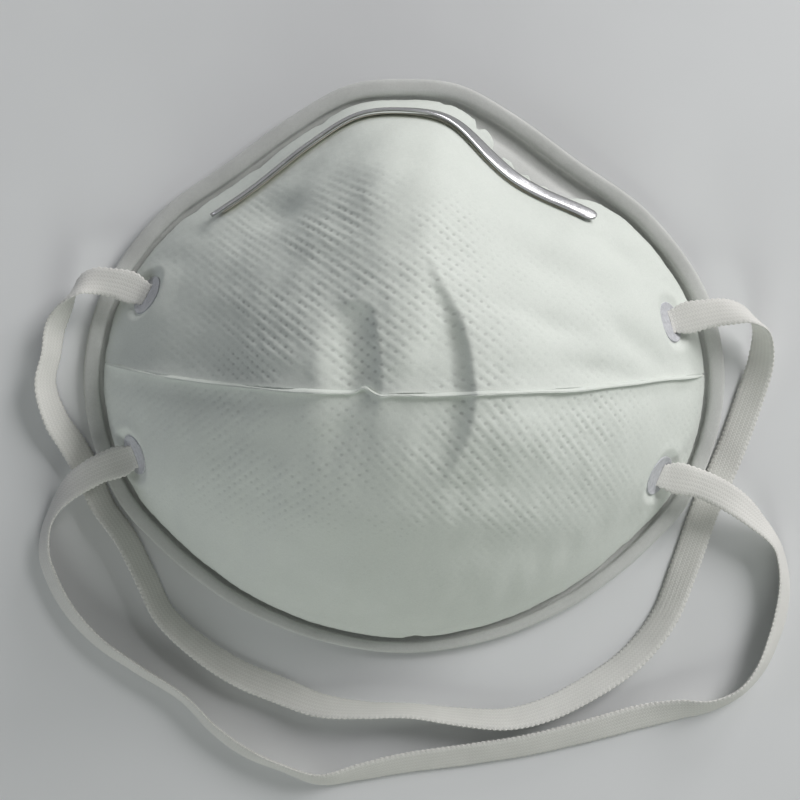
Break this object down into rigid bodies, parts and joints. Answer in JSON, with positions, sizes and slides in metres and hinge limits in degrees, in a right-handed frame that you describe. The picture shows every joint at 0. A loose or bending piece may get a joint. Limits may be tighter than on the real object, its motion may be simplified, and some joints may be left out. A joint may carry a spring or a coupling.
{
  "type": "disposable dust mask",
  "caption": "Cup-shaped disposable dust mask with a centre seam, rolled rim, bendable nose strip and welded elastic head straps that swing.",
  "frame": {"origin": "bottom centre of the mask without its straps, on the surface that its rim rests on", "axes": "+X across the mask towards the picture's right, +Y towards the nose, +Z out of the face, up as it lies"},
  "size_m": [0.1557, 0.1449, 0.0497],
  "materials": {
    "soft_liner": "matte",
    "moulded_nonwoven": "matte",
    "filter_media": "matte",
    "embossed_cover": "matte",
    "hot_melt": "satin",
    "nose_strip_metal": "satin",
    "nose_foam": "matte",
    "strap_weld": "satin",
    "elastic_strap": "matte"
  },
  "bodies": {
    "mask": {"inner_liner": "soft_liner", "moulded_shell": "moulded_nonwoven", "filter_upper_panel": "filter_media", "filter_lower_panel": "filter_media", "cover_upper_panel": "embossed_cover", "cover_lower_panel": "embossed_cover", "nose_clip_adhesive": "hot_melt", "nose_clip": "nose_strip_metal", "nose_foam": "nose_foam", "strap_weld_upper_left": "strap_weld", "strap_weld_upper_right": "strap_weld", "strap_weld_lower_left": "strap_weld", "strap_weld_lower_right": "strap_weld"},
    "upper_loop": {"upper_strap": "elastic_strap"},
    "lower_loop": {"lower_strap": "elastic_strap"}
  },
  "joints": [
    {"name": "upper_strap_swing", "type": "hinge", "parent": "mask", "child": "upper_loop", "pos_m": [0.0008, 0.012, 0.00905], "axis": [-0.9985, 0.0535, -0.0102], "range_deg": [0, 176], "deforming": ["upper_strap"]},
    {"name": "lower_strap_swing", "type": "hinge", "parent": "mask", "child": "lower_loop", "pos_m": [-0.0012, -0.02065, 0.00705], "axis": [-0.9992, 0.0338, -0.0192], "range_deg": [0, 150], "deforming": ["lower_strap"]}
  ]
}
